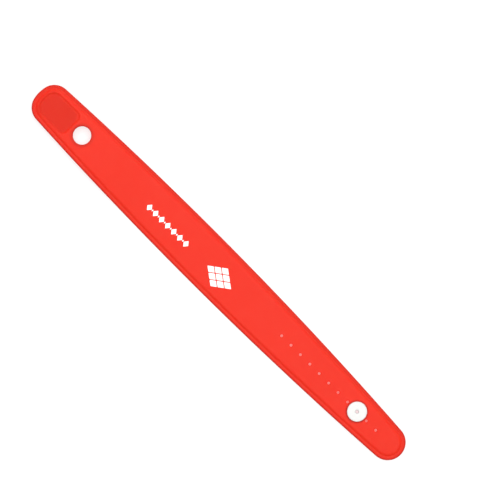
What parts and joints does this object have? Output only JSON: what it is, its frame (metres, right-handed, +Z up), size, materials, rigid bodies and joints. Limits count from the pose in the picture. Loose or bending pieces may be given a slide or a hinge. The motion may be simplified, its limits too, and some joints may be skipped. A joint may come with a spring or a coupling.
{
  "type": "silicone wristband",
  "caption": "Tapered silicone wristband lying open: raised field inside a groove and rim, row of small holes, buttonhole, metal stud clasp under the wide end and a round button.",
  "frame": {"origin": "middle of the band's length and width, on the surface that it lies on", "axes": "+X along the band towards the narrow tip, +Z up, out of the front of the band"},
  "size_m": [0.2506, 0.026, 0.0057],
  "materials": {
    "silicone": "smooth satin silicone, red",
    "clasp_metal": "polished steel",
    "button_plastic": "moulded plastic, off-white"
  },
  "bodies": {
    "root": {"band": "silicone", "clasp": "clasp_metal", "button_cap": "button_plastic", "button_stud": "button_plastic"}
  },
  "joints": []
}
